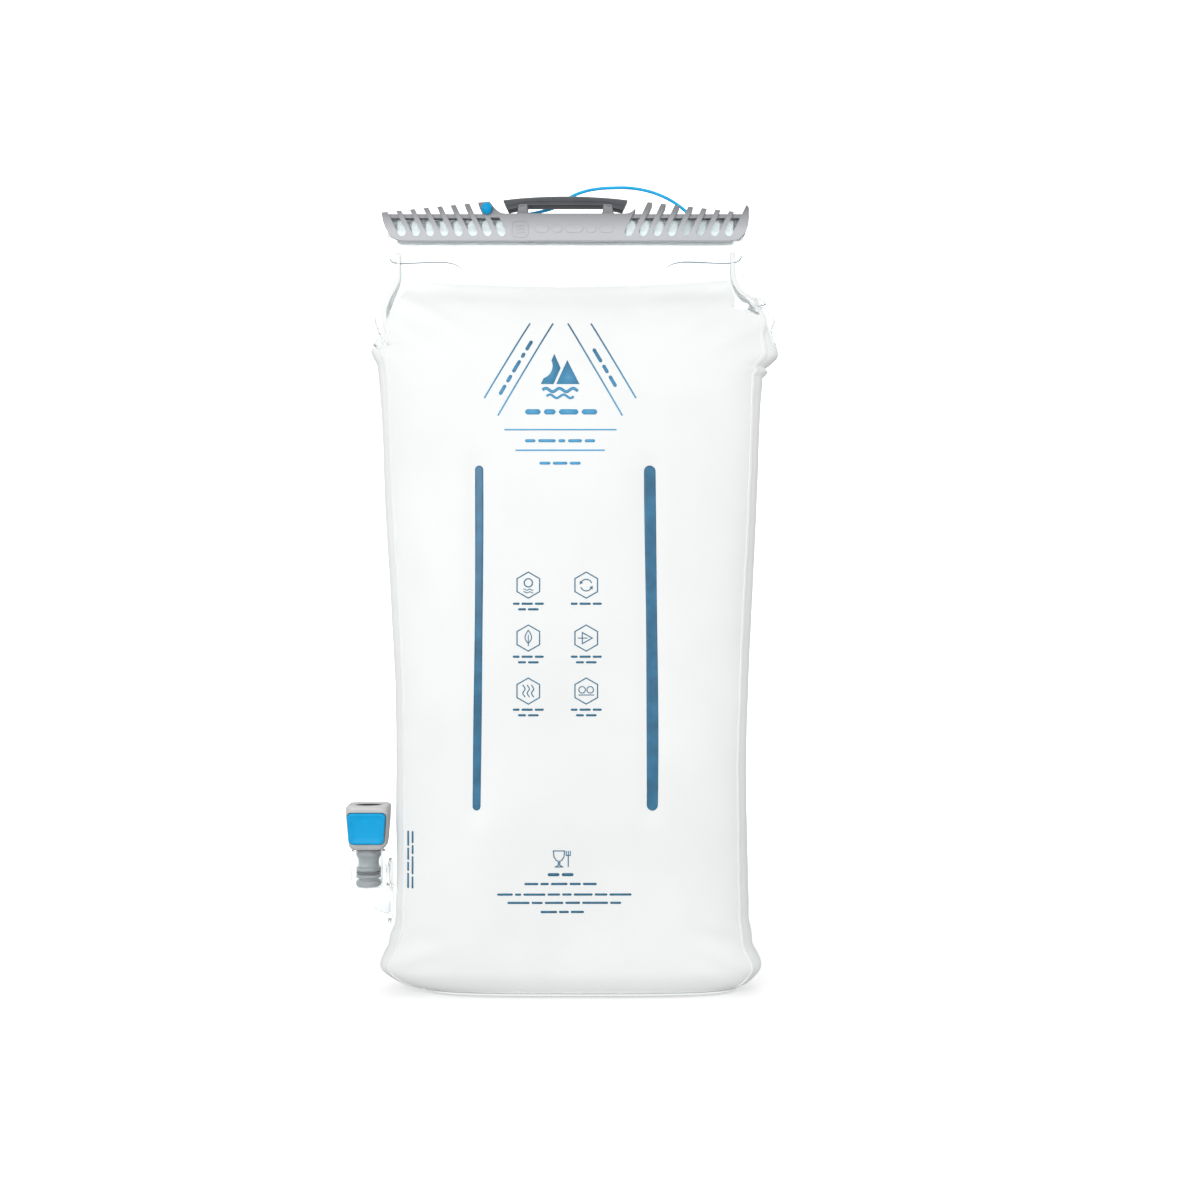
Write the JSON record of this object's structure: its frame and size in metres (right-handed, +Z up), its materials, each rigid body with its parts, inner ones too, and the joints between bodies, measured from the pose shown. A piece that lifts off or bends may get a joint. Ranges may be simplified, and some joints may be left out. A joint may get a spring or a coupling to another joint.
{
  "type": "hydration bladder",
  "caption": "Gusseted translucent water bladder with a slotted slide-on mouth clip, arched carry handle, leash, internal baffle and a low side port ending in a push-button hose coupling.",
  "frame": {"origin": "underside of the sole, under the middle of the mouth", "axes": "+Z up, from the sole to the mouth; +X to the right, away from the side port; +Y from the front to the back"},
  "size_m": [0.2104, 0.0616, 0.4029],
  "materials": {
    "film": "frosted translucent film",
    "clear_plastic": "clear, glossy",
    "baffle_film": "teal weld strip seen through the film",
    "clip_plastic": "satin moulded grey",
    "handle_plastic": "satin moulded dark grey",
    "blue_plastic": "satin moulded blue",
    "leash_cord": "smooth extruded cord",
    "housing_plastic": "satin moulded pale grey",
    "stem_plastic": "satin moulded grey",
    "seal_rubber": "moulded rubber",
    "spring_steel": "bright steel"
  },
  "bodies": {
    "bladder": {"front_panel": "film", "back_panel": "film", "left_gusset": "film", "right_gusset": "film", "sole_gusset": "film", "baffle_left": "baffle_film", "baffle_right": "baffle_film", "mouth_rail_front": "clear_plastic", "mouth_rail_back": "clear_plastic", "leash_tab": "clear_plastic", "leash_ferrule": "blue_plastic", "port_elbow": "clear_plastic", "coupling_stem": "stem_plastic", "stem_oring": "seal_rubber", "valve_retainer": "stem_plastic", "valve_spring": "spring_steel", "coupling_housing": "housing_plastic", "socket_oring": "seal_rubber", "button_spring_left": "spring_steel", "button_spring_right": "spring_steel"},
    "clip": {"slide_clip": "clip_plastic", "carry_handle": "handle_plastic", "leash_ball": "blue_plastic", "leash_cord": "leash_cord"},
    "button": {"release_button": "blue_plastic", "latch_plate": "spring_steel"},
    "valve": {"valve_poppet": "blue_plastic", "poppet_seal": "seal_rubber"}
  },
  "joints": [
    {"name": "clip_slide", "type": "slide", "parent": "bladder", "child": "clip", "axis": [1, 0, 0], "range_m": [0, 0.185], "deforming": ["leash_cord"]},
    {"name": "button_press", "type": "slide", "parent": "bladder", "child": "button", "axis": [0, 1, 0], "range_m": [0, 0.0016], "stiffness_N_per_m": 2500, "springref_m": -0.001, "deforming": ["button_spring_left", "button_spring_right"]},
    {"name": "valve_lift", "type": "slide", "parent": "bladder", "child": "valve", "axis": [0, 0, -1], "range_m": [0, 0.0035], "stiffness_N_per_m": 250, "springref_m": -0.003, "deforming": ["valve_spring"]}
  ]
}
